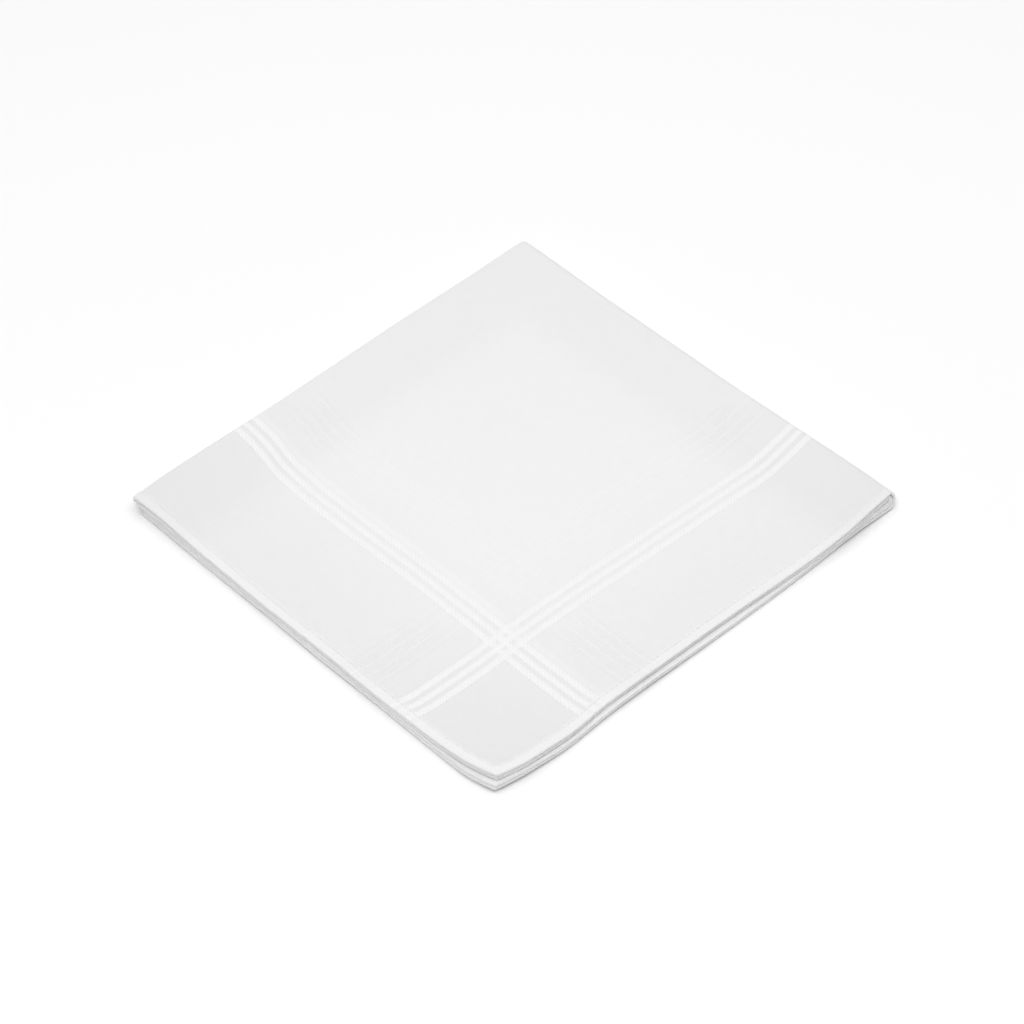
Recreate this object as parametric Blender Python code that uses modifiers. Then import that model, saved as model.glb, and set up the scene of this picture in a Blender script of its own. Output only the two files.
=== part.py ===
"""A cotton handkerchief folded in four: one hemmed square of cloth, thickened flat and then folded twice."""
import math
from collections import namedtuple

import bmesh
import bpy

MM = 0.001

# The folded stack, seen from above: hems at +X and -Y, the two folds at -X and +Y
FOLDED_WIDTH = 198.5 * MM
FOLDED_DEPTH = 206.5 * MM

# The cloth
SHEET_THICKNESS = 1.0 * MM
HEM_THICKNESS = 1.3 * MM
HEM_WIDTH = 4.2 * MM
HEM_STEP = 0.8 * MM
HEM_EDGE = 0.5 * MM
HEM_EDGE_THINNING = 0.55
CORNER_PULL = 1.6 * MM
CORNER_PULL_REACH = 17.0 * MM
CORNER_CUT = 0.7 * MM
CORNER_CUT_REACH = 6.0 * MM
CORNER_CUT_FADE = 9.0 * MM

# The height between the two layers that the first fold joins, and between the two inner layers
PAIR_PITCH = 2.0 * MM
INNER_PITCH = 1.7 * MM

# How finely the sheet is divided
FIELD_STEPS = 12
BEND_STEPS = 8

CLOTH_NAME = "handkerchief"
CLOTH_COLOUR = (0.86, 0.86, 0.86, 1.0)
CLOTH_ROUGHNESS = 0.9

# How far each layer strays outwards from the straight outline, in mm, at EDGE_STATIONS along an edge:
# the right hem from front to back, the front hem from left to right, the left fold from front to back
EDGE_STATIONS = (0.0, 0.06, 0.16, 0.28, 0.4, 0.55, 0.7, 0.85, 0.94, 1.0)
Layer = namedtuple("Layer", "right_hem front_hem left_fold")
LAYERS = {
    "top": Layer(
        right_hem=(1.0, 1.3, 1.95, 0.15, 0.05, -0.4, 0.1, -0.05, -1.7, -3.3),
        front_hem=(-2.3, -2.3, -1.65, -1.1, -0.3, 0.1, 1.1, 1.3, 0.9, 0.1),
        left_fold=(-1.9, -0.8, -0.55, -0.6, -0.25, 0.55, 1.05, 1.15, 1.5, 1.7),
    ),
    "third": Layer(
        right_hem=(0.7, 0.7, 1.3, -0.1, -0.3, -0.7, -0.4, -0.8, -2.0, -3.4),
        front_hem=(-2.5, -2.6, -2.1, -1.7, -0.9, -0.4, 0.5, 0.8, 0.5, -0.1),
        left_fold=(-1.9, -0.8, -0.55, -0.6, -0.25, 0.55, 1.05, 1.15, 1.5, 1.7),
    ),
    "second": Layer(
        right_hem=(1.5, 1.35, 2.1, 0.6, 0.35, 0.2, 0.0, -1.1, -1.7, -2.5),
        front_hem=(-2.9, -2.5, -1.8, -1.4, -0.8, 0.1, 0.5, 1.2, 1.5, 1.1),
        left_fold=(-4.6, -4.0, -3.1, -2.25, -1.75, -1.2, -0.75, -0.2, 0.3, 0.5),
    ),
    "bottom": Layer(
        right_hem=(2.6, 2.45, 3.2, 1.65, 1.3, 1.25, 0.95, -0.25, -0.7, -1.1),
        front_hem=(-2.5, -2.05, -1.3, -0.75, -0.2, 0.85, 1.2, 2.0, 2.4, 2.0),
        left_fold=(-4.6, -4.0, -3.1, -2.25, -1.75, -1.2, -0.75, -0.2, 0.3, 0.5),
    ),
}

# How far the back fold strays outwards, in mm, from left to right
BACK_FOLD = (1.6, 1.6, 1.3, 1.1, 1.15, 1.05, 1.6, 2.2, 2.4, 1.7)

# Where the layers stand open: a place on the folded stack, as a share of its width and depth from the
# left front corner, the height of the opening in mm, and how far it reaches in mm
Opening = namedtuple("Opening", "across along height reach")
OPENINGS_UNDER_TOP = (
    Opening(across=0.06, along=0.0, height=0.3, reach=60.0),
    Opening(across=1.0, along=0.97, height=0.3, reach=48.0),
)
OPENINGS_IN_MIDDLE = (
    Opening(across=0.52, along=0.55, height=0.6, reach=105.0),
)

# Sizes that follow from the ones above
INNER_LEVEL = INNER_PITCH / 2
OUTER_LEVEL = INNER_LEVEL + PAIR_PITCH
PAIR_RADIUS = PAIR_PITCH / 2
MIDDLE_HEIGHT = OUTER_LEVEL + SHEET_THICKNESS / 2
LEFT_EDGE = -FOLDED_WIDTH / 2
FRONT_EDGE = -FOLDED_DEPTH / 2
LEFT_BEND_CENTRE = LEFT_EDGE + PAIR_RADIUS + SHEET_THICKNESS / 2
BACK_BEND_CENTRE = FOLDED_DEPTH / 2 - OUTER_LEVEL - SHEET_THICKNESS / 2
LEFT_BEND_HALF = PAIR_RADIUS * math.pi / 2
BACK_BEND_HALF = (INNER_LEVEL + OUTER_LEVEL) / 2 * math.pi / 2
HALF_ACROSS = FOLDED_WIDTH / 2 - LEFT_BEND_CENTRE + LEFT_BEND_HALF
HALF_ALONG = BACK_BEND_CENTRE - FRONT_EDGE + BACK_BEND_HALF


def clear_scene():
    """Removes every object that is there."""
    for thing in list(bpy.data.objects):
        bpy.data.objects.remove(thing, do_unlink=True)


def clamp(value):
    """Keeps a share between 0 and 1."""
    return min(max(value, 0.0), 1.0)


def ease(share):
    """Eases a share from 0 to 1."""
    share = clamp(share)
    return share * share * (3 - 2 * share)


def secant(values, index):
    """Measures the slope between two neighbouring values."""
    return (values[index + 1] - values[index]) / (EDGE_STATIONS[index + 1] - EDGE_STATIONS[index])


def slope_at(values, index):
    """Finds the curve's slope at a station, which is level at each peak and trough."""
    last = len(values) - 1
    before = secant(values, max(index - 1, 0))
    after = secant(values, min(index, last - 1))
    return 2 * before * after / (before + after) if before * after > 0 else 0.0


def curve_through(values, share):
    """Reads a smooth curve through the values at EDGE_STATIONS, in metres, which never swings past them."""
    share = clamp(share)
    index = max(number for number, station in enumerate(EDGE_STATIONS[:-1]) if station <= share)
    width = EDGE_STATIONS[index + 1] - EDGE_STATIONS[index]
    step = (share - EDGE_STATIONS[index]) / width
    start = values[index]
    rise = values[index + 1] - start
    slope_in = slope_at(values, index) * width
    slope_out = slope_at(values, index + 1) * width
    cubic = slope_in + slope_out - 2 * rise
    square = 3 * rise - 2 * slope_in - slope_out
    return (((cubic * step + square) * step + slope_in) * step + start) * MM


def half_stations(half_length, bend_half):
    """Lists the places of the grid lines from the crease to the hem's edge, on one side of a fold."""
    bend = [bend_half * 2 * index / BEND_STEPS for index in range(BEND_STEPS // 2 + 1)]
    hem_start = half_length - HEM_WIDTH
    field_end = hem_start - HEM_STEP
    field_length = field_end - bend_half
    field = [bend_half + field_length * index / FIELD_STEPS for index in range(1, FIELD_STEPS + 1)]
    hem = [hem_start, half_length - HEM_WIDTH / 2, half_length - HEM_EDGE, half_length]
    return bend + field + hem


def stations(half_length, bend_half):
    """Lists the places of all grid lines across a fold, from one hem's edge to the other's."""
    half = half_stations(half_length, bend_half)
    return [-place for place in reversed(half[1:])] + half


def edge_distances(across, along):
    """Measures how far a place on the flat cloth is from its nearest hem edge in each direction."""
    return HALF_ACROSS - abs(across), HALF_ALONG - abs(along)


def draw_corner_in(across, along):
    """Draws the cloth's square corners in and rounds them."""
    from_side, from_end = edge_distances(across, along)
    pull = CORNER_PULL * (1 - ease(math.hypot(from_side, from_end) / CORNER_PULL_REACH))
    nearness = clamp(1 - abs(from_side - from_end) / CORNER_CUT_REACH)
    fade = clamp(1 - min(from_side, from_end) / CORNER_CUT_FADE)
    pull += CORNER_CUT * nearness ** 2 * fade ** 2
    return across - math.copysign(pull, across), along - math.copysign(pull, along)


def first_fold(across, offset):
    """Folds the cloth at its left crease. Returns the place in X, the level, and the outer layers' share."""
    if abs(across) >= LEFT_BEND_HALF:
        outwards = math.copysign(1.0, across)
        level = OUTER_LEVEL + offset if across > 0 else INNER_LEVEL - offset
        return LEFT_BEND_CENTRE + abs(across) - LEFT_BEND_HALF, level, (1 + outwards) / 2
    angle = (1 - across / LEFT_BEND_HALF) * math.pi / 2
    radius = PAIR_RADIUS + offset
    level = INNER_LEVEL + PAIR_RADIUS + radius * math.cos(angle)
    return LEFT_BEND_CENTRE - radius * math.sin(angle), level, (1 + math.cos(angle)) / 2


def second_fold(along, level):
    """Folds the pair at its back crease. Returns the place in Y, the height, and the upper layers' share."""
    if abs(along) >= BACK_BEND_HALF:
        upwards = -math.copysign(1.0, along)
        flat = abs(along) - BACK_BEND_HALF
        return BACK_BEND_CENTRE - flat, MIDDLE_HEIGHT + upwards * level, (1 + upwards) / 2
    angle = -along / BACK_BEND_HALF * math.pi / 2
    y = BACK_BEND_CENTRE + level * math.cos(angle)
    return y, MIDDLE_HEIGHT + level * math.sin(angle), (1 + math.sin(angle)) / 2


def blend_layers(edge, share, outer, upper):
    """Reads how far an edge strays, between the layers that the folds join."""
    weights = {
        "top": outer * upper,
        "third": (1 - outer) * upper,
        "second": (1 - outer) * (1 - upper),
        "bottom": outer * (1 - upper),
    }
    return sum(weight * curve_through(getattr(LAYERS[name], edge), share) for name, weight in weights.items())


def opening_height(openings, x, y):
    """Adds up how far the layers stand apart at a place on the stack."""
    total = 0.0
    for opening in openings:
        away_x = x - (LEFT_EDGE + opening.across * FOLDED_WIDTH)
        away_y = y - (FRONT_EDGE + opening.along * FOLDED_DEPTH)
        total += opening.height * MM * ease(1 - math.hypot(away_x, away_y) / (opening.reach * MM))
    return total


def fold_point(across, along, offset):
    """Carries a point of the flat, thick cloth to its place in the folded stack."""
    from_edge = min(edge_distances(across, along))
    if from_edge < HEM_EDGE:
        offset *= HEM_EDGE_THINNING + (1 - HEM_EDGE_THINNING) * from_edge / HEM_EDGE
    across, along = draw_corner_in(across, along)
    x, level, outer = first_fold(across, offset)
    y, z, upper = second_fold(along, level)
    share_x = clamp((x - LEFT_EDGE) / FOLDED_WIDTH)
    share_y = clamp((y - FRONT_EDGE) / FOLDED_DEPTH)
    right = blend_layers("right_hem", share_y, outer, upper)
    left = -blend_layers("left_fold", share_y, outer, upper)
    front = -blend_layers("front_hem", share_x, outer, upper)
    back = curve_through(BACK_FOLD, share_x)
    lift = outer * opening_height(OPENINGS_UNDER_TOP, x, y) + opening_height(OPENINGS_IN_MIDDLE, x, y)
    folded_x = x + left + (right - left) * share_x
    folded_y = y + front + (back - front) * share_y
    return folded_x, folded_y, z + upper * lift


def flat_cloth():
    """Makes the square of cloth flat, as a grid whose lines are closest at the hems and the creases."""
    lines_across = stations(HALF_ACROSS, LEFT_BEND_HALF)
    lines_along = stations(HALF_ALONG, BACK_BEND_HALF)
    grid = bmesh.new()
    bmesh.ops.create_grid(grid, x_segments=len(lines_across) - 1, y_segments=len(lines_along) - 1, size=1.0)
    for vertex in grid.verts:
        column = round((vertex.co.x + 1) / 2 * (len(lines_across) - 1))
        row = round((vertex.co.y + 1) / 2 * (len(lines_along) - 1))
        vertex.co = (lines_across[column], lines_along[row], SHEET_THICKNESS / 2)
    mesh = bpy.data.meshes.new("flat_cloth")
    grid.to_mesh(mesh)
    grid.free()
    return bpy.data.objects.new("flat_cloth", mesh)


def thicken(cloth):
    """Gives the flat cloth its thickness with Solidify, more in the hem, on the side away from the top."""
    group = cloth.vertex_groups.new(name="thickness")
    for vertex in cloth.data.vertices:
        in_hem = min(edge_distances(vertex.co.x, vertex.co.y)) <= HEM_WIDTH * 1.001
        group.add([vertex.index], 1.0 if in_hem else SHEET_THICKNESS / HEM_THICKNESS, "REPLACE")
    solidify = cloth.modifiers.new("thickness", "SOLIDIFY")
    solidify.thickness = HEM_THICKNESS
    solidify.offset = -1.0
    solidify.vertex_group = group.name


def cotton():
    """Makes the plain white cotton."""
    material = bpy.data.materials.new("white_cotton")
    material.use_nodes = True
    shader = material.node_tree.nodes["Principled BSDF"]
    shader.inputs["Base Color"].default_value = CLOTH_COLOUR
    shader.inputs["Roughness"].default_value = CLOTH_ROUGHNESS
    shader.inputs["Metallic"].default_value = 0.0
    return material


def centre_on_base(mesh):
    """Moves the stack so that the middle of its footprint is the origin and it stands on z = 0."""
    lows = [min(vertex.co[axis] for vertex in mesh.vertices) for axis in range(3)]
    highs = [max(vertex.co[axis] for vertex in mesh.vertices) for axis in range(3)]
    for vertex in mesh.vertices:
        vertex.co.x -= (lows[0] + highs[0]) / 2
        vertex.co.y -= (lows[1] + highs[1]) / 2
        vertex.co.z -= lows[2]


def handkerchief(collection):
    """Builds the folded handkerchief from its flat cloth."""
    flat = flat_cloth()
    collection.objects.link(flat)
    thicken(flat)
    evaluated = flat.evaluated_get(bpy.context.evaluated_depsgraph_get())
    mesh = bpy.data.meshes.new_from_object(evaluated)
    bpy.data.objects.remove(flat, do_unlink=True)
    mesh.name = CLOTH_NAME
    for vertex in mesh.vertices:
        vertex.co = fold_point(*vertex.co)
    centre_on_base(mesh)
    mesh.materials.clear()
    mesh.materials.append(cotton())
    mesh.shade_smooth()
    mesh.set_sharp_from_angle(angle=math.radians(40))
    cloth = bpy.data.objects.new(CLOTH_NAME, mesh)
    collection.objects.link(cloth)
    return cloth


def main():
    """Builds the part in its own collection."""
    clear_scene()
    collection = bpy.data.collections.new("folded_handkerchief")
    bpy.context.scene.collection.children.link(collection)
    handkerchief(collection)


main()
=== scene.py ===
"""The looks of a white cotton handkerchief that lies folded in four on a pale floor."""

import math
from collections import namedtuple

import bmesh
import bpy
import numpy as np
from mathutils import Matrix, Vector


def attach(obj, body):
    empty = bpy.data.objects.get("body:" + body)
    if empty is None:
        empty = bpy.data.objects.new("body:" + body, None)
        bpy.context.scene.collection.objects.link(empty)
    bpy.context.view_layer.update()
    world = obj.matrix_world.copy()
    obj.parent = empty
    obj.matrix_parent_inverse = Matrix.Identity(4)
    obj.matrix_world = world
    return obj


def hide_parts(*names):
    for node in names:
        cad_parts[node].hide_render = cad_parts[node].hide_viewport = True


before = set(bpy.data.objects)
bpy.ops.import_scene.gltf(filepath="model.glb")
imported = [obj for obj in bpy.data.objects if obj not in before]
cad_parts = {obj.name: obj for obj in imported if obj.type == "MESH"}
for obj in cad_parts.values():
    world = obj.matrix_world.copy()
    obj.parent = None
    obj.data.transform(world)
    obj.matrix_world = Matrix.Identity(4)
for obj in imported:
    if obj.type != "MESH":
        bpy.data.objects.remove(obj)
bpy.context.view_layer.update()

# The rest of this script works in millimetres and turns them into metres only where it makes objects
MM = 0.001
NODE = "handkerchief"

# The folded stack, as in the solid: hems at +X and -Y, the two folds at -X and +Y
FOLDED_WIDTH = 198.5
FOLDED_DEPTH = 206.5
SOLID_THICKNESS = 1.0
PAIR_PITCH = 2.0
INNER_PITCH = 1.7

# The cloth itself, thinner than its solid, its hem, and the dip beside the top layer's hem
CLOTH_THICKNESS = 0.42
HEM_WIDTH = 4.2
HEM_CORNER = 5.0
HEM_SLOPE = 1.8
HEM_EDGE_SHARE = 0.12
HEM_DIP = 0.2
HEM_DIP_AT = 9.0
HEM_DIP_REACH = 5.0
LAYER_BLEND = 6.0

# Hems grow evenly thick towards the left fold, and take on their own thickness towards the back fold
LEFT_HEM_THICKNESS = 1.6
LEFT_HEM_REACH = 14.0
BACK_HEM_REACH = 32.0

# The four corners of the cloth are drawn in and rounded
CORNER_PULL = 1.6
CORNER_PULL_REACH = 17.0
CORNER_CUT = 0.7
CORNER_CUT_REACH = 6.0
CORNER_CUT_FADE = 9.0

# How thick each layer's hem is along the edges and at the back fold, how far it stands out, and how
# wide its rounding is above and below. Then how far each edge strays outwards from the straight
# outline, read at shares of its length
EDGE_STATIONS = (0.0, 0.06, 0.16, 0.28, 0.4, 0.55, 0.7, 0.85, 0.94, 1.0)
Layer = namedtuple(
    "Layer", "hem_thickness hem_at_fold hem_rise round_above round_below right_hem front_hem left_fold"
)
LAYERS = {
    "top": Layer(
        hem_thickness=1.5,
        hem_at_fold=1.1,
        hem_rise=0.25,
        round_above=0.6,
        round_below=0.6,
        right_hem=(1.5, 1.8, 1.95, 0.2, 0.0, -0.6, -0.1, 0.3, -1.2, -2.9),
        front_hem=(-2.3, -2.3, -1.65, -1.1, -0.3, 0.1, 1.1, 1.3, 0.9, 0.1),
        left_fold=(-1.9, -0.8, -0.55, -0.6, -0.25, 0.55, 1.05, 1.15, 1.5, 1.7),
    ),
    "third": Layer(
        hem_thickness=1.9,
        hem_at_fold=2.3,
        hem_rise=0.3,
        round_above=0.6,
        round_below=0.1,
        right_hem=(1.2, 1.5, 1.65, -0.1, -0.3, -0.9, -0.4, 0.0, -1.5, -3.1),
        front_hem=(-2.4, -2.4, -1.9, -1.5, -0.7, -0.2, 0.7, 1.0, 0.6, 0.0),
        left_fold=(-1.9, -0.8, -0.55, -0.6, -0.25, 0.55, 1.05, 1.15, 1.5, 1.7),
    ),
    "second": Layer(
        hem_thickness=1.15,
        hem_at_fold=2.0,
        hem_rise=0.3,
        round_above=0.8,
        round_below=0.1,
        right_hem=(2.4, 2.3, 3.0, 1.7, 1.4, 1.2, 0.8, -0.4, -1.0, -1.7),
        front_hem=(-2.75, -2.3, -1.55, -1.05, -0.5, 0.5, 0.9, 1.7, 2.1, 1.8),
        left_fold=(-4.6, -4.0, -3.1, -2.25, -1.75, -1.2, -0.75, -0.2, 0.3, 0.5),
    ),
    "bottom": Layer(
        hem_thickness=2.1,
        hem_at_fold=1.25,
        hem_rise=0.0,
        round_above=0.4,
        round_below=1.8,
        right_hem=(2.4, 2.3, 3.0, 1.65, 1.35, 1.15, 0.75, -0.35, -0.8, -1.1),
        front_hem=(-2.5, -2.05, -1.3, -0.75, -0.2, 0.85, 1.2, 2.0, 2.4, 2.0),
        left_fold=(-4.6, -4.0, -3.1, -2.25, -1.75, -1.2, -0.75, -0.2, 0.3, 0.5),
    ),
}
BACK_FOLD = (1.6, 1.6, 1.3, 1.1, 1.15, 1.05, 1.6, 2.2, 2.4, 1.7)

# How far the cloth is drawn to the back and to the right within its outline, where its stripes bow
DRIFT_BACK = (5.9, 4.6, 0.9, -0.3, -0.05, 0.18, -0.07, -1.46, -1.5, -0.9)
DRIFT_RIGHT = (-3.4, -1.5, -0.8, -0.5, -0.46, 0.56, 0.67, 0.8, -0.35, -1.2)
Fade = namedtuple("Fade", "start full_from full_to end")
DRIFT_BACK_FADE = Fade(start=-104.0, full_from=-58.0, full_to=-15.0, end=100.0)
DRIFT_RIGHT_FADE = Fade(start=-95.0, full_from=20.0, full_to=60.0, end=100.0)

# How much lower the stack lies along its two hemmed sides, as a share of its height
PRESSED_FRONT = (0.0, 0.03, 0.13, 0.23, 0.25, 0.24, 0.2, 0.14, 0.02, 0.0)
PRESSED_RIGHT = (0.0, 0.03, 0.13, 0.22, 0.24, 0.24, 0.22, 0.12, 0.03, 0.0)
PRESSED_REACH = 36.0

# Where the layers stand open: a place as a share of the stack's width and depth, a height and a reach
Opening = namedtuple("Opening", "across along height reach")
OPENINGS_UNDER_TOP = (
    Opening(across=0.06, along=0.0, height=0.3, reach=60.0),
    Opening(across=1.0, along=0.97, height=0.3, reach=48.0),
)
OPENINGS_IN_MIDDLE = (
    Opening(across=0.52, along=0.55, height=0.6, reach=105.0),
)
OPENINGS_UNDER_ALL = (
    Opening(across=1.0, along=0.06, height=1.0, reach=32.0),
    Opening(across=1.0, along=0.35, height=0.9, reach=50.0),
    Opening(across=1.0, along=0.9, height=1.0, reach=28.0),
    Opening(across=0.5, along=0.0, height=0.4, reach=75.0),
)
FOLD_HOLD = 11.0

# Soft ridges and troughs in the upper layers: two ends in the stack's plan, a width and a height
Crease = namedtuple("Crease", "start_x start_y end_x end_y width height")
CREASES = (
    Crease(start_x=-84.0, start_y=60.0, end_x=-82.0, end_y=-45.0, width=13.0, height=-0.25),
    Crease(start_x=-20.0, start_y=88.0, end_x=80.0, end_y=86.0, width=11.0, height=-0.25),
)

# The woven border, measured from the hem's outer edge to each stripe's middle
Border = namedtuple("Border", "satin_first thin_first dash_pitch glow")
SIDE_BORDER = Border(satin_first=41.9, thin_first=63.6, dash_pitch=1.5, glow=0.0)
END_BORDER = Border(satin_first=46.5, thin_first=68.4, dash_pitch=1.86, glow=0.025)
STRIPE_PITCH = 4.37
SATIN_COUNT = 3
SATIN_HALF_WIDTH = 1.2
SATIN_MIDDLE_NARROWER = 0.15
SATIN_TEETH = 0.25
SATIN_ROWS_PITCH = 1.3
SATIN_RISE = 0.05
GLOW_AT = 2.9
GLOW_HALF_WIDTH = 1.3
THIN_COUNT = 4
THIN_HALF_WIDTH = 0.26

# The hem's stitches
STITCH_LINE = 3.55
STITCH_PITCH = 2.3
STITCH_LENGTH = 1.7
STITCH_WIDTH = 0.34
STITCH_HEIGHT = 0.15
STITCH_SIDES = 6
STITCH_RINGS = 4

# How finely the cloth is divided: distances from the hem's edge, places about each satin stripe, the
# widest step between them, and steps in half a bend
HEM_LINES = (0.0, 0.06, 0.2, 0.45, 0.9, 1.6, 2.6, 3.4, 3.9, 4.5, 5.2)
SATIN_LINES = (-1.5, -0.75, 0.0, 0.75, 1.5)
FIELD_STEP = 2.6
BEND_STEPS = 8

# Sizes that follow from the ones above
INNER_LEVEL = INNER_PITCH / 2
OUTER_LEVEL = INNER_LEVEL + PAIR_PITCH
PAIR_RADIUS = PAIR_PITCH / 2
OUTER_FACE = SOLID_THICKNESS / 2
MIDDLE_HEIGHT = OUTER_LEVEL + OUTER_FACE
LEFT_EDGE = -FOLDED_WIDTH / 2
FRONT_EDGE = -FOLDED_DEPTH / 2
LEFT_BEND_CENTRE = LEFT_EDGE + PAIR_RADIUS + OUTER_FACE
BACK_BEND_CENTRE = FOLDED_DEPTH / 2 - OUTER_LEVEL - OUTER_FACE
LEFT_BEND_HALF = PAIR_RADIUS * math.pi / 2
BACK_BEND_HALF = (INNER_LEVEL + OUTER_LEVEL) / 2 * math.pi / 2
HALF_ACROSS = FOLDED_WIDTH / 2 - LEFT_BEND_CENTRE + LEFT_BEND_HALF
HALF_ALONG = BACK_BEND_CENTRE - FRONT_EDGE + BACK_BEND_HALF

# The camera: the photo's viewing angle and lens, and the place of the unmoved stack that it is aimed at
CAMERA_AZIMUTH = 46.16
CAMERA_ELEVATION = 44.33
CAMERA_DISTANCE = 1942.0
CAMERA_LENS = 184.15
CAMERA_SENSOR = 36.0
CAMERA_TARGET = (2.86, -2.11, 2.17)
CAMERA_REACH = 100000.0

# The floor, the white surround and the lights, in metres and watts
FLOOR_SIZE = 8.0
FLOOR_BELOW_CLOTH = 0.00005
SURROUND_STRENGTH = 0.2
Softbox = namedtuple("Softbox", "name place size watts")
SOFTBOXES = (
    Softbox(name="overhead_light", place=(0.0, 0.10, 1.60), size=2.6, watts=33.5),
    Softbox(name="front_light", place=(0.45, -0.95, 1.30), size=0.9, watts=5.5),
)
WHITE = (1.0, 1.0, 1.0, 1.0)


def smooth(share):
    """Eases a share from 0 to 1."""
    share = np.clip(share, 0.0, 1.0)
    return share * share * (3.0 - 2.0 * share)


def curve_through(values, share):
    """Reads a smooth curve through the values at EDGE_STATIONS, which never swings past them."""
    stations = np.asarray(EDGE_STATIONS)
    values = np.asarray(values)
    secants = np.diff(values) / np.diff(stations)
    before = secants[:-1]
    after = secants[1:]
    same_way = before * after > 0
    sums = np.where(same_way, before + after, 1.0)
    inner = np.where(same_way, 2 * before * after / sums, 0.0)
    slopes = np.concatenate([secants[:1], inner, secants[-1:]])
    share = np.clip(share, 0.0, 1.0)
    index = np.clip(np.searchsorted(stations, share, side="right") - 1, 0, len(stations) - 2)
    width = (stations[1:] - stations[:-1])[index]
    step = (share - stations[index]) / width
    start = values[index]
    rise = values[index + 1] - start
    slope_in = slopes[index] * width
    slope_out = slopes[index + 1] * width
    cubic = slope_in + slope_out - 2 * rise
    square = 3 * rise - 2 * slope_in - slope_out
    return start + step * (slope_in + step * (square + step * cubic))


def fade_value(fade, place):
    """Is 0 before start, 1 between full_from and full_to, and 0 after end, with soft slopes."""
    rising = smooth((place - fade.start) / (fade.full_from - fade.start))
    falling = smooth((fade.end - place) / (fade.end - fade.full_to))
    return rising * falling


def half_stations(half_length, bend_half, border):
    """Lists the places of the grid lines from the crease to the hem's edge, on one side of a fold."""
    stripes = [border.satin_first + index * STRIPE_PITCH for index in range(SATIN_COUNT)]
    from_edge = list(HEM_LINES) + [stripe + place for stripe in stripes for place in SATIN_LINES]
    lines = np.concatenate([[bend_half], np.sort(half_length - np.array(from_edge))])
    filled = [np.linspace(0.0, bend_half, BEND_STEPS, endpoint=False)]
    for start, end in zip(lines, lines[1:]):
        filled.append(np.linspace(start, end, math.ceil((end - start) / FIELD_STEP), endpoint=False))
    filled.append(lines[-1:])
    return np.concatenate(filled)


def both_sides(half):
    """Mirrors the places of grid lines about the crease."""
    return np.concatenate([-half[:0:-1], half])


def edge_distances(across, along):
    """Measures how far places on the flat cloth are from their nearest hem edge in each direction."""
    return HALF_ACROSS - np.abs(across), HALF_ALONG - np.abs(along)


def hem_share(across, along):
    """Is 1 in the hem and 0 inside it, where the hem's inner line turns its corners in an arc."""
    from_side, from_end = edge_distances(across, along)
    turn = HEM_WIDTH + HEM_CORNER
    depth = turn - np.hypot(np.maximum(turn - from_side, 0), np.maximum(turn - from_end, 0))
    return 1 - smooth((depth - HEM_WIDTH + HEM_SLOPE / 2) / HEM_SLOPE)


def draw_corner_in(across, along):
    """Draws the cloth's square corners in and rounds them."""
    from_side, from_end = edge_distances(across, along)
    pull = CORNER_PULL * (1 - smooth(np.hypot(from_side, from_end) / CORNER_PULL_REACH))
    nearness = np.clip(1 - np.abs(from_side - from_end) / CORNER_CUT_REACH, 0, 1)
    fade = np.clip(1 - np.minimum(from_side, from_end) / CORNER_CUT_FADE, 0, 1)
    pull += CORNER_CUT * nearness ** 2 * fade ** 2
    return across - np.copysign(pull, across), along - np.copysign(pull, along)


def first_fold(across, offset):
    """Folds the cloth at its left crease. Returns X, the level, and the outer layers' share."""
    angle = (1 - np.clip(across / LEFT_BEND_HALF, -1, 1)) * math.pi / 2
    flat = np.maximum(np.abs(across) - LEFT_BEND_HALF, 0)
    radius = PAIR_RADIUS + offset
    level = INNER_LEVEL + PAIR_RADIUS + radius * np.cos(angle)
    x = LEFT_BEND_CENTRE + flat - radius * np.sin(angle)
    return x, level, (1 + np.cos(angle)) / 2


def second_fold(along, level):
    """Folds the pair at its back crease. Returns Y, the height, and the upper layers' share."""
    angle = -np.clip(along / BACK_BEND_HALF, -1, 1) * math.pi / 2
    flat = np.maximum(np.abs(along) - BACK_BEND_HALF, 0)
    y = BACK_BEND_CENTRE - flat + level * np.cos(angle)
    return y, MIDDLE_HEIGHT + level * np.sin(angle), (1 + np.sin(angle)) / 2


def layer_weights(outer, upper):
    """Gives each layer's share at points that may lie in the folds between layers."""
    return {
        "top": outer * upper,
        "third": (1 - outer) * upper,
        "second": (1 - outer) * (1 - upper),
        "bottom": outer * (1 - upper),
    }


def layered(size, weights):
    """Reads a size of the layers, between those that the folds join."""
    return sum(weight * getattr(LAYERS[name], size) for name, weight in weights.items())


def stray(edge, share, weights):
    """Reads how far an edge strays, between the layers that the folds join."""
    strays = {name: curve_through(getattr(LAYERS[name], edge), share) for name in weights}
    return sum(weight * strays[name] for name, weight in weights.items())


def opening_height(openings, x, y):
    """Adds up how far the layers stand apart at places on the stack. The folds hold them together."""
    total = np.zeros_like(x)
    for opening in openings:
        away_x = x - (LEFT_EDGE + opening.across * FOLDED_WIDTH)
        away_y = y - (FRONT_EDGE + opening.along * FOLDED_DEPTH)
        total += opening.height * smooth(1 - np.hypot(away_x, away_y) / opening.reach)
    return total * smooth((x - LEFT_EDGE) / FOLD_HOLD)


def pressed_share(x, y):
    """Reads how much lower the stack lies near the middle of its hemmed sides."""
    share_x = np.clip((x - LEFT_EDGE) / FOLDED_WIDTH, 0, 1)
    share_y = np.clip((y - FRONT_EDGE) / FOLDED_DEPTH, 0, 1)
    near_front = 1 - smooth(share_y * FOLDED_DEPTH / PRESSED_REACH)
    near_right = 1 - smooth((1 - share_x) * FOLDED_WIDTH / PRESSED_REACH)
    front = curve_through(PRESSED_FRONT, share_x) * near_front
    right = curve_through(PRESSED_RIGHT, share_y) * near_right
    return front + right


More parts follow.
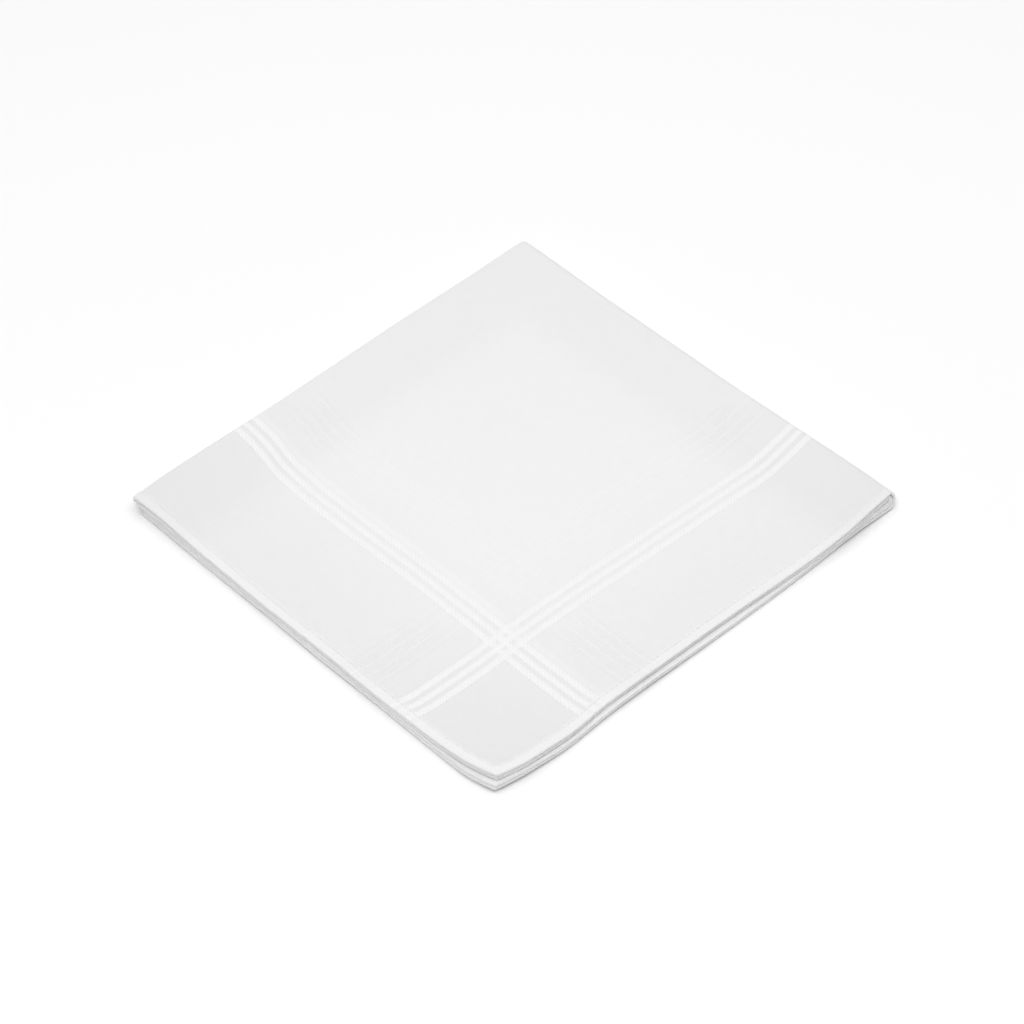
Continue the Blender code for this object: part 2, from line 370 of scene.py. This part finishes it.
def crease_height(x, y):
    """Adds up the soft ridges and troughs of the upper layers."""
    total = np.zeros_like(x)
    for crease in CREASES:
        run_x = crease.end_x - crease.start_x
        run_y = crease.end_y - crease.start_y
        length = math.hypot(run_x, run_y)
        share = ((x - crease.start_x) * run_x + (y - crease.start_y) * run_y) / length ** 2
        nearest = np.clip(share, 0, 1)
        away = np.hypot(x - crease.start_x - nearest * run_x, y - crease.start_y - nearest * run_y)
        total += crease.height * np.exp(-((away / crease.width) ** 2))
    return total


def satin_share(across, along):
    """Is 1 on the middle of a satin stripe and falls to 0 at its edges."""
    share = np.zeros_like(across)
    for distance, border in zip(edge_distances(across, along), (SIDE_BORDER, END_BORDER)):
        for index in range(SATIN_COUNT):
            away = np.abs(distance - border.satin_first - index * STRIPE_PITCH)
            share = np.maximum(share, 1 - smooth(away / (SATIN_HALF_WIDTH + SATIN_TEETH)))
    return share


def hem_size(across, along, weights):
    """Reads how thick the hem is, which changes towards the two folds."""
    near_back = 1 - smooth(np.abs(along) / BACK_HEM_REACH)
    near_left = 1 - smooth(np.abs(across) / LEFT_HEM_REACH)
    size = layered("hem_thickness", weights)
    size += (layered("hem_at_fold", weights) - size) * near_back
    return size + (LEFT_HEM_THICKNESS - size) * near_left


def hem_roundness(across, along, is_outer_face, weights):
    """Falls from 1 to 0 where a hem rounds off at its edge, as wide as its layer says."""
    outer_is_above = weights["top"] + weights["second"]
    above = np.where(is_outer_face, outer_is_above, 1 - outer_is_above)
    reach = layered("round_above", weights) * above + layered("round_below", weights) * (1 - above)
    from_edge = np.minimum(*edge_distances(across, along))
    return np.sqrt(1 - np.clip(1 - from_edge / reach, 0, 1) ** 2)


def face_offset(across, along, is_outer_face):
    """Sets how far each face lies from the solid's middle surface, with hems and raised stripes."""
    outer = smooth(across / LAYER_BLEND + 0.5)
    upper = smooth(0.5 - along / LAYER_BLEND)
    weights = layer_weights(outer, upper)
    in_hem = hem_share(across, along)
    thickness = CLOTH_THICKNESS + (hem_size(across, along, weights) - CLOTH_THICKNESS) * in_hem
    outer_face = OUTER_FACE + layered("hem_rise", weights) * in_hem
    from_edge = np.minimum(*edge_distances(across, along))
    dip = np.exp(-(((from_edge - HEM_DIP_AT) / HEM_DIP_REACH) ** 2))
    middle = outer_face - thickness / 2 - HEM_DIP * dip * (1 - in_hem) * weights["top"]
    roundness = np.maximum(hem_roundness(across, along, is_outer_face, weights), HEM_EDGE_SHARE)
    half = thickness / 2 * roundness + SATIN_RISE * satin_share(across, along) * (1 - in_hem)
    return middle + np.where(is_outer_face, half, -half)


def fold(across, along, offset):
    """Carries points of the flat cloth to their places in the folded stack."""
    across, along = draw_corner_in(across, along)
    x, level, outer = first_fold(across, offset)
    y, z, upper = second_fold(along, level)
    share_x = np.clip((x - LEFT_EDGE) / FOLDED_WIDTH, 0, 1)
    share_y = np.clip((y - FRONT_EDGE) / FOLDED_DEPTH, 0, 1)
    weights = layer_weights(outer, upper)
    right = stray("right_hem", share_y, weights)
    left = -stray("left_fold", share_y, weights)
    front = -stray("front_hem", share_x, weights)
    back = curve_through(BACK_FOLD, share_x)
    drift_x = curve_through(DRIFT_RIGHT, share_y) * fade_value(DRIFT_RIGHT_FADE, x)
    drift_y = curve_through(DRIFT_BACK, share_x) * fade_value(DRIFT_BACK_FADE, y)
    lift = outer * opening_height(OPENINGS_UNDER_TOP, x, y) + opening_height(OPENINGS_IN_MIDDLE, x, y)
    lift += crease_height(x, y)
    folded_x = x + left + (right - left) * share_x + drift_x
    folded_y = y + front + (back - front) * share_y + drift_y
    pressed = (z + upper * lift) * (1 - pressed_share(x, y))
    folded_z = np.maximum(pressed, 0) + opening_height(OPENINGS_UNDER_ALL, x, y)
    return np.column_stack([folded_x, folded_y, folded_z])


def mesh_points(mesh):
    """Reads a mesh's points, in the units that it holds."""
    points = np.empty(len(mesh.vertices) * 3)
    mesh.vertices.foreach_get("co", points)
    return points.reshape(-1, 3)


def flat_cloth():
    """Makes the square of cloth flat and two-sided, with lines closest at hems, stripes and creases."""
    lines_across = both_sides(half_stations(HALF_ACROSS, LEFT_BEND_HALF, SIDE_BORDER))
    lines_along = both_sides(half_stations(HALF_ALONG, BACK_BEND_HALF, END_BORDER))
    columns = len(lines_across) - 1
    rows = len(lines_along) - 1
    grid = bmesh.new()
    bmesh.ops.create_grid(grid, x_segments=columns, y_segments=rows, size=1.0)
    mesh = bpy.data.meshes.new("flat_cloth")
    grid.to_mesh(mesh)
    grid.free()
    points = mesh_points(mesh)
    column = np.rint((points[:, 0] + 1) / 2 * columns).astype(int)
    row = np.rint((points[:, 1] + 1) / 2 * rows).astype(int)
    points[:, 0] = lines_across[column]
    points[:, 1] = lines_along[row]
    mesh.vertices.foreach_set("co", (points * MM).ravel())
    add_cloth_map(mesh, points)
    cloth = bpy.data.objects.new("flat_cloth", mesh)
    solidify = cloth.modifiers.new("two_sides", "SOLIDIFY")
    solidify.thickness = CLOTH_THICKNESS * MM
    solidify.offset = -1.0
    return cloth


def add_cloth_map(mesh, points):
    """Gives each corner its place on the flat cloth, in metres, which the weave and stripes follow."""
    corners = np.empty(len(mesh.loops), dtype=int)
    mesh.loops.foreach_get("vertex_index", corners)
    layer = mesh.uv_layers.new(name="cloth")
    layer.data.foreach_set("uv", (points[corners, :2] * MM).ravel())


def folded_cloth():
    """Folds the flat cloth twice. Returns it and the middle of its box, which its stitches share."""
    flat = flat_cloth()
    bpy.context.scene.collection.objects.link(flat)
    evaluated = flat.evaluated_get(bpy.context.evaluated_depsgraph_get())
    mesh = bpy.data.meshes.new_from_object(evaluated)
    bpy.data.objects.remove(flat, do_unlink=True)
    mesh.name = "folded_cloth"
    points = mesh_points(mesh) / MM
    is_outer_face = points[:, 2] > -CLOTH_THICKNESS / 2
    offset = face_offset(points[:, 0], points[:, 1], is_outer_face)
    folded = fold(points[:, 0], points[:, 1], offset)
    middle = (folded.min(axis=0) + folded.max(axis=0)) / 2
    middle[2] = 0.0
    mesh.vertices.foreach_set("co", ((folded - middle) * MM).ravel())
    mesh.update()
    mesh.shade_smooth()
    cloth = bpy.data.objects.new("cotton_cloth", mesh)
    bpy.context.scene.collection.objects.link(cloth)
    return cloth, middle


def stitch_shape():
    """Makes one stitch that lies along X, as points and faces. Each run lists its faces in one order."""
    ball = bmesh.new()
    bmesh.ops.create_uvsphere(ball, u_segments=STITCH_SIDES, v_segments=STITCH_RINGS, radius=0.5)
    points = np.array([vertex.co[:] for vertex in ball.verts])
    faces = sorted([vertex.index for vertex in face.verts] for face in ball.faces)
    ball.free()
    return points * (STITCH_LENGTH, STITCH_WIDTH, STITCH_HEIGHT), faces


def hem_stitches(middle):
    """Sews the hem down on both faces, all round the cloth."""
    shape, faces = stitch_shape()
    all_points = []
    all_faces = []
    for side in range(4):
        runs_across = side % 2 == 0
        half_run = (HALF_ACROSS if runs_across else HALF_ALONG) - STITCH_LINE
        away = (HALF_ALONG if runs_across else HALF_ACROSS) - STITCH_LINE
        sign = 1 if side < 2 else -1
        count = int(2 * half_run / STITCH_PITCH)
        for index in range(count):
            run = shape[:, 0] + (index - (count - 1) / 2) * STITCH_PITCH
            line = sign * away + shape[:, 1]
            across, along = (run, line) if runs_across else (line, run)
            for is_outer_face in (True, False):
                height = shape[:, 2] if is_outer_face else -shape[:, 2]
                surface = face_offset(across, along, np.full(len(run), is_outer_face))
                first = sum(len(points) for points in all_points)
                all_points.append(fold(across, along, surface + height) - middle)
                all_faces += [[first + corner for corner in face] for face in faces]
    mesh = bpy.data.meshes.new("hem_stitches")
    mesh.from_pydata(np.concatenate(all_points) * MM, [], all_faces)
    mesh.shade_smooth()
    stitches = bpy.data.objects.new("hem_stitches", mesh)
    bpy.context.scene.collection.objects.link(stitches)
    return stitches


class Shader:
    """Builds a material's nodes from short formulas."""

    def __init__(self, name):
        self.material = bpy.data.materials.new(name)
        self.material.use_nodes = True
        self.tree = self.material.node_tree
        self.principled = self.tree.nodes["Principled BSDF"]

    def node(self, kind, **settings):
        """Adds a node with its settings."""
        made = self.tree.nodes.new(kind)
        for key, value in settings.items():
            setattr(made, key, value)
        return made

    def feed(self, socket, value):
        """Sets a socket, or links another one to it."""
        if isinstance(value, bpy.types.NodeSocket):
            self.tree.links.new(value, socket)
        else:
            socket.default_value = value

    def math(self, operation, *values):
        """Adds one step of arithmetic."""
        made = self.node("ShaderNodeMath", operation=operation)
        for socket, value in zip(made.inputs, values):
            self.feed(socket, value)
        return made.outputs[0]

    def add(self, *values):
        """Adds values up."""
        total = values[0]
        for value in values[1:]:
            total = self.math("ADD", total, value)
        return total

    def multiply(self, *values):
        """Multiplies values."""
        total = values[0]
        for value in values[1:]:
            total = self.math("MULTIPLY", total, value)
        return total

    def less(self, value, taken):
        """Takes one value from another."""
        return self.math("SUBTRACT", value, taken)

    def rise_from(self, base, value):
        """Runs from base to 1 as the value runs from 0 to 1."""
        return self.add(base, self.multiply(value, 1 - base))

    def ease(self, value, low, high):
        """Eases from 0 at low to 1 at high."""
        made = self.node("ShaderNodeMapRange", interpolation_type="SMOOTHSTEP")
        self.feed(made.inputs["Value"], value)
        self.feed(made.inputs["From Min"], low)
        self.feed(made.inputs["From Max"], high)
        return made.outputs["Result"]

    def band(self, away, half_width, softness):
        """Is 1 within half_width of a line and 0 outside it, with a soft edge."""
        inner = self.less(half_width, softness / 2)
        return self.less(1.0, self.ease(away, inner, self.add(half_width, softness / 2)))

    def wave(self, turns):
        """Runs smoothly from 0 to 1 and back once a turn."""
        return self.math("MULTIPLY_ADD", self.math("SINE", self.multiply(turns, 2 * math.pi)), 0.5, 0.5)

    def noise(self, across, along, scale_across, scale_along, detail=2.0):
        """Reads a noise that may be stretched along the threads, about 0.5 on average."""
        place = self.node("ShaderNodeCombineXYZ")
        self.feed(place.inputs["X"], self.math("DIVIDE", across, scale_across))
        self.feed(place.inputs["Y"], self.math("DIVIDE", along, scale_along))
        made = self.node("ShaderNodeTexNoise")
        self.feed(made.inputs["Vector"], place.outputs[0])
        self.feed(made.inputs["Scale"], 1.0)
        self.feed(made.inputs["Detail"], detail)
        return made.outputs["Fac"]

    def grey(self, value):
        """Turns a value into a grey."""
        made = self.node("ShaderNodeCombineColor")
        for socket in made.inputs:
            self.feed(socket, value)
        return made.outputs[0]

    def set_finish(self, finish):
        """Sets what is the same all over the surface on the shader's own sockets."""
        for name, value in finish.items():
            self.principled.inputs[name].default_value = value


# The cloth's material. Tones are shares of COTTON_GREY, and every length and height is in millimetres
COTTON_GREY = 0.88
HEM_TONE = -0.008
HEM_DOT_TONE = 0.012
HEM_DOT_PITCH = 1.15
HEM_SOFTNESS = 0.8

# Painted shade: the cloth's colour is made broadly darker beside hems and folds
SIDE_SHADE = -0.04
END_SHADE = -0.05
HEM_SHADE_REACH = 80.0
FOLD_SHADE = -0.04
FOLD_SHADE_FULL = 20.0
FOLD_SHADE_REACH = 46.0

# The woven stripes: how light and how raised they are, and how soft their edges
SATIN_TONE = 0.08
SATIN_VALLEY_TONE = -0.012
SATIN_HEIGHT = 0.09
THIN_TONE = 0.06
THIN_HEIGHT = 0.05
LADDER_TONE = -0.04
STRIPE_SOFTNESS = 0.35
GROUP_SOFTNESS = 1.0
GLOW_SOFTNESS = 1.6

# How the beads of the satin stripes come about, as shares of the full tone
DASH_DARK_BELOW = 0.2
DASH_LIGHT_ABOVE = 0.8
SATIN_ROWS_SHIFT = 0.3
SATIN_FADE_END = 1.6 * SATIN_HALF_WIDTH
SATIN_FADE = 0.75
SATIN_BASE = 0.25
SATIN_DASH_SHARE = 0.35
SATIN_ROWS_SHARE = 0.4
VALLEY_DASH_SHARE = 0.7

# The same for the thin lines and the dots between them, which are quiet in the middle of the cloth
THIN_BASE = 0.45
THIN_QUIET_SHARE = 0.4
RUNG_BASE = 0.4
RUNGS_A_STRIPE = 4
SPECKLE_SIZE = 0.75
SPECKLE_DETAIL = 1.0
SPECKLE_NONE_BELOW = 0.42
SPECKLE_FULL_ABOVE = 0.6
QUIET_FROM = 26.0
QUIET_TO = 44.0
CALM_FOLD = 3.0
CALM_FOLD_END = 13.0

# The plain weave and its uneven yarn
WEAVE_PITCH = 0.42
WEAVE_HEIGHT = 0.03
SLUB_TONE = 0.035
SLUB_HEIGHT = 0.05
SLUB_LENGTH = 7.0
SLUB_WIDTH = 0.7

# The thread of the stitches: grains a metre, the darkest tone, and how much lighter it gets
THREAD_GRAINS = 1500.0
THREAD_TONE = 0.97
THREAD_UNEVENNESS = 0.08

# What is the same all over a surface. The cloth is soft and matt with a faint sheen, and lets light
# bleed through its thin edges
BLEED = 0.4
CLOTH_FINISH = {
    "Roughness": 0.85,
    "Specular IOR Level": 0.25,
    "Subsurface Weight": 0.5,
    "Subsurface Radius": (1.0, 1.0, 1.0),
    "Subsurface Scale": BLEED * MM,
    "Sheen Weight": 0.1,
    "Sheen Roughness": 0.5,
}
FLOOR_FINISH = {
    "Base Color": (0.955, 0.955, 0.955, 1.0),
    "Roughness": 0.8,
    "Specular IOR Level": 0.0,
}


def weave_height(shader, across, along):
    """Makes the height of a plain weave, whose threads pass over and under each other."""
    over = shader.math("DIVIDE", across, WEAVE_PITCH)
    under = shader.math("DIVIDE", along, WEAVE_PITCH)
    cells = shader.add(shader.math("FLOOR", over), shader.math("FLOOR", under))
    checker = shader.math("MODULO", shader.math("ABSOLUTE", cells), 2.0)
    warp = shader.math("SINE", shader.multiply(shader.math("FRACT", over), math.pi))
    weft = shader.math("SINE", shader.multiply(shader.math("FRACT", under), math.pi))
    warp_part = shader.multiply(warp, checker)
    weft_part = shader.multiply(weft, shader.less(1.0, checker))
    return shader.add(warp_part, weft_part)


def nearest_stripe(shader, distance, first, count):
    """Finds the nearest of a group of even stripes: its number, and how far each place is from it."""
    steps = shader.math("DIVIDE", shader.less(distance, first), STRIPE_PITCH)
    number = shader.math("FLOOR", shader.add(steps, 0.5))
    number = shader.math("MINIMUM", shader.math("MAXIMUM", number, 0.0), count - 1.0)
    return number, shader.multiply(shader.less(steps, number), STRIPE_PITCH)


def group_band(shader, distance, first, count):
    """Is 1 within a group of stripes and half a pitch around it."""
    middle = first + (count - 1) / 2 * STRIPE_PITCH
    away = shader.math("ABSOLUTE", shader.less(distance, middle))
    return shader.band(away, count / 2 * STRIPE_PITCH, GROUP_SOFTNESS)


def satin(shader, distance, border, dash):
    """Draws a group of satin stripes, each with two rows of beads and brightest along its outer edge."""
    number, offset = nearest_stripe(shader, distance, border.satin_first, SATIN_COUNT)
    away = shader.math("ABSOLUTE", offset)
    in_middle = shader.less(1.0, shader.math("ABSOLUTE", shader.less(number, 1.0)))
    half_width = shader.add(
        SATIN_HALF_WIDTH,
        shader.multiply(in_middle, -SATIN_MIDDLE_NARROWER),
        shader.multiply(dash, SATIN_TEETH),
    )
    mask = shader.band(away, half_width, STRIPE_SOFTNESS)
    rows = shader.wave(shader.math("DIVIDE", shader.add(offset, SATIN_ROWS_SHIFT), SATIN_ROWS_PITCH))
    inwards = shader.ease(offset, -SATIN_HALF_WIDTH, SATIN_FADE_END)
    strength = shader.less(1.0, shader.multiply(inwards, SATIN_FADE))
    in_rows = shader.add(SATIN_DASH_SHARE, shader.multiply(rows, SATIN_ROWS_SHARE))
    beads = shader.add(SATIN_BASE, shader.multiply(dash, in_rows))
    floats = shader.multiply(mask, strength, beads)
    group = group_band(shader, distance, border.satin_first, SATIN_COUNT)
    between_dashes = shader.less(1.0, shader.multiply(dash, VALLEY_DASH_SHARE))
    valley = shader.multiply(group, shader.less(1.0, mask), between_dashes)
    return mask, floats, valley


def glow(shader, distance, border):
    """Draws the soft light band just inside a group of satin stripes."""
    middle = border.satin_first + (SATIN_COUNT - 1) * STRIPE_PITCH + GLOW_AT
    away = shader.math("ABSOLUTE", shader.less(distance, middle))
    return shader.multiply(shader.band(away, GLOW_HALF_WIDTH, GLOW_SOFTNESS), border.glow)


def thin_lines(shader, distance, border, dash, speckle, loud):
    """Draws one group of thin beaded lines, and the uneven dark dots between them."""
    offset = nearest_stripe(shader, distance, border.thin_first, THIN_COUNT)[1]
    away = shader.math("ABSOLUTE", offset)
    beads = shader.rise_from(THIN_BASE, dash)
    strength = shader.rise_from(THIN_QUIET_SHARE, loud)
    line = shader.multiply(shader.band(away, THIN_HALF_WIDTH, STRIPE_SOFTNESS), beads, strength)
    rungs = shader.wave(shader.math("DIVIDE", offset, STRIPE_PITCH / RUNGS_A_STRIPE))
    group = group_band(shader, distance, border.thin_first, THIN_COUNT)
    ladder = shader.multiply(group, shader.rise_from(RUNG_BASE, rungs), speckle, loud)
    return line, ladder


def slanting(shader, across, along, pitch):
    """Runs from 0 to 1 and back across slanting threads."""
    return shader.wave(shader.math("DIVIDE", shader.add(across, along), pitch))


def dashes(shader, across, along, border):
    """Is 1 on the light dashes of a border's stripes and 0 between them."""
    slant = slanting(shader, across, along, border.dash_pitch)
    return shader.ease(slant, DASH_DARK_BELOW, DASH_LIGHT_ABOVE)


def speckles(shader, across, along):
    """Is 1 on scattered dots and 0 between them."""
    grain = shader.noise(across, along, SPECKLE_SIZE, SPECKLE_SIZE, SPECKLE_DETAIL)
    return shader.ease(grain, SPECKLE_NONE_BELOW, SPECKLE_FULL_ABOVE)


def slub_height(shader, across, along):
    """Makes the unevenness of the yarn in both directions, about 0 on average."""
    slubs_across = shader.noise(across, along, SLUB_LENGTH, SLUB_WIDTH)
    slubs_along = shader.noise(across, along, SLUB_WIDTH, SLUB_LENGTH)
    return shader.less(shader.add(slubs_across, slubs_along), 1.0)


def hem_shade(shader, from_hem):
    """Is 1 beside a hem and fades out further in."""
    return shader.less(1.0, shader.ease(from_hem, HEM_WIDTH, HEM_WIDTH + HEM_SHADE_REACH))


def fold_shade(shader, from_fold):
    """Is 1 beside a fold and fades out further in, where the stack rises to its middle."""
    return shader.less(1.0, shader.ease(from_fold, FOLD_SHADE_FULL, FOLD_SHADE_REACH))


def broad_shade(shader, from_side, from_end, from_left, from_back, hem):
    """Paints broad shade into the colour beside hems and folds, and draws the light bands inside the
    satin stripes.
    """
    inside_hem = shader.less(1.0, hem)
    near_fold = shader.math("MAXIMUM", fold_shade(shader, from_left), fold_shade(shader, from_back))
    return shader.add(
        shader.multiply(hem_shade(shader, from_side), inside_hem, SIDE_SHADE),
        shader.multiply(hem_shade(shader, from_end), inside_hem, END_SHADE),
        shader.multiply(near_fold, FOLD_SHADE),
        glow(shader, from_side, SIDE_BORDER),
        glow(shader, from_end, END_BORDER),
    )


def loudness(shader, from_hem, from_fold):
    """Is 1 a little way in from a hem or fold, and 0 in the middle of the cloth and right at a fold."""
    nearest = shader.math("MINIMUM", from_hem, from_fold)
    outside_middle = shader.less(1.0, shader.ease(nearest, QUIET_FROM, QUIET_TO))
    return shader.multiply(outside_middle, shader.ease(from_fold, CALM_FOLD, CALM_FOLD_END))


def cotton():
    """Makes white cotton: plain weave, satin stripes, thin beaded lines and a plain hem."""
    shader = Shader("white_cotton")
    place = shader.node("ShaderNodeUVMap", uv_map="cloth")
    parts = shader.node("ShaderNodeSeparateXYZ")
    shader.feed(parts.inputs[0], place.outputs["UV"])
    across = shader.multiply(parts.outputs["X"], 1 / MM)
    along = shader.multiply(parts.outputs["Y"], 1 / MM)
    from_left = shader.math("ABSOLUTE", across)
    from_back = shader.math("ABSOLUTE", along)
    from_side = shader.less(HALF_ACROSS, from_left)
    from_end = shader.less(HALF_ALONG, from_back)
    from_edge = shader.math("MINIMUM", from_side, from_end)
    side_dash = dashes(shader, across, along, SIDE_BORDER)
    end_dash = dashes(shader, across, along, END_BORDER)
    side_mask, side_floats, side_valley = satin(shader, from_side, SIDE_BORDER, side_dash)
    end_mask, end_floats, end_valley = satin(shader, from_end, END_BORDER, end_dash)
    speckle = speckles(shader, across, along)
    side_loud = loudness(shader, from_end, from_back)
    end_loud = loudness(shader, from_side, from_left)
    side_line, side_ladder = thin_lines(shader, from_side, SIDE_BORDER, side_dash, speckle, side_loud)
    end_line, end_ladder = thin_lines(shader, from_end, END_BORDER, end_dash, speckle, end_loud)
    mask = shader.math("MAXIMUM", side_mask, end_mask)
    plain = shader.less(1.0, mask)
    floats = shader.math("MAXIMUM", side_floats, end_floats)
    valley = shader.multiply(plain, shader.math("MAXIMUM", side_valley, end_valley))
    line = shader.math("MAXIMUM", side_line, end_line)
    ladder = shader.math("MAXIMUM", side_ladder, end_ladder)
    hem = shader.band(from_edge, HEM_WIDTH, HEM_SOFTNESS)
    hem_dots = shader.less(slanting(shader, across, along, HEM_DOT_PITCH), 0.5)
    shade = broad_shade(shader, from_side, from_end, from_left, from_back, hem)
    slubs = slub_height(shader, across, along)
    tone = shader.add(
        1.0,
        shader.multiply(hem, shader.add(HEM_TONE, shader.multiply(hem_dots, 2 * HEM_DOT_TONE))),
        shader.multiply(floats, SATIN_TONE),
        shader.multiply(valley, SATIN_VALLEY_TONE),
        shader.multiply(line, THIN_TONE),
        shader.multiply(ladder, LADDER_TONE),
        shader.multiply(plain, shade),
        shader.multiply(slubs, SLUB_TONE),
    )
    height = shader.add(
        shader.multiply(weave_height(shader, across, along), WEAVE_HEIGHT),
        shader.multiply(floats, SATIN_HEIGHT),
        shader.multiply(line, THIN_HEIGHT),
        shader.multiply(slubs, SLUB_HEIGHT),
    )
    bump = shader.node("ShaderNodeBump")
    shader.feed(bump.inputs["Height"], height)
    shader.feed(bump.inputs["Distance"], MM)
    shader.feed(bump.inputs["Strength"], 1.0)
    shader.feed(shader.principled.inputs["Base Color"], shader.grey(shader.multiply(tone, COTTON_GREY)))
    shader.feed(shader.principled.inputs["Normal"], bump.outputs[0])
    shader.set_finish(CLOTH_FINISH)
    return shader.material


def thread():
    """Makes the white thread of the stitches, a little uneven along its length."""
    shader = Shader("white_thread")
    place = shader.node("ShaderNodeTexCoord")
    fibres = shader.node("ShaderNodeTexNoise")
    shader.feed(fibres.inputs["Vector"], place.outputs["Object"])
    shader.feed(fibres.inputs["Scale"], THREAD_GRAINS)
    tone = shader.add(THREAD_TONE, shader.multiply(fibres.outputs["Fac"], THREAD_UNEVENNESS))
    shader.feed(shader.principled.inputs["Base Color"], shader.grey(shader.multiply(tone, COTTON_GREY)))
    shader.set_finish(CLOTH_FINISH)
    return shader.material


def floor():
    """Lays the plain pale floor."""
    bpy.ops.mesh.primitive_plane_add(size=FLOOR_SIZE, location=(0, 0, -FLOOR_BELOW_CLOTH))
    plane = bpy.context.object
    plane.name = "floor"
    shader = Shader("floor_white")
    shader.set_finish(FLOOR_FINISH)
    plane.data.materials.append(shader.material)


def hang_softbox(softbox):
    """Hangs one square soft light, aimed at the cloth."""
    light = bpy.data.lights.new(softbox.name, "AREA")
    light.shape = "SQUARE"
    light.size = softbox.size
    light.energy = softbox.watts
    lamp = bpy.data.objects.new(softbox.name, light)
    lamp.location = softbox.place
    lamp.rotation_euler = Vector(softbox.place).to_track_quat("Z", "Y").to_euler()
    bpy.context.scene.collection.objects.link(lamp)


def studio():
    """Lights the scene with a faint white surround, a wide soft light overhead and one in front."""
    world = bpy.data.worlds.new("studio")
    world.use_nodes = True
    background = world.node_tree.nodes["Background"]
    background.inputs["Color"].default_value = WHITE
    background.inputs["Strength"].default_value = SURROUND_STRENGTH
    bpy.context.scene.world = world
    for softbox in SOFTBOXES:
        hang_softbox(softbox)
    bpy.context.scene.view_settings.view_transform = "Standard"


def camera(middle):
    """Sets the camera at the photo's viewing angle, for the stack moved by its middle."""
    azimuth = math.radians(CAMERA_AZIMUTH)
    elevation = math.radians(CAMERA_ELEVATION)
    back = Vector((
        math.sin(azimuth) * math.cos(elevation),
        -math.cos(azimuth) * math.cos(elevation),
        math.sin(elevation),
    ))
    right = Vector((math.cos(azimuth), math.sin(azimuth), 0))
    up = back.cross(right)
    lens = bpy.data.cameras.new("photo_camera")
    lens.lens = CAMERA_LENS
    lens.sensor_width = CAMERA_SENSOR
    lens.clip_end = CAMERA_REACH * MM
    view = bpy.data.objects.new("photo_camera", lens)
    turn = Matrix((right, up, back)).transposed().to_4x4()
    place = (Vector(CAMERA_TARGET) - Vector(middle) + back * CAMERA_DISTANCE) * MM
    view.matrix_world = Matrix.Translation(place) @ turn
    bpy.context.scene.collection.objects.link(view)
    bpy.context.scene.camera = view


def dress(cloth, middle):
    """Puts the cloth and its stitches in the place of the solid."""
    cloth.data.materials.clear()
    cloth.data.materials.append(cotton())
    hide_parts(NODE)
    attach(cloth, "root")
    stitches = hem_stitches(middle)
    stitches.data.materials.append(thread())
    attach(stitches, "root")


studio()
floor()
cloth, middle = folded_cloth()
dress(cloth, middle)
camera(middle)
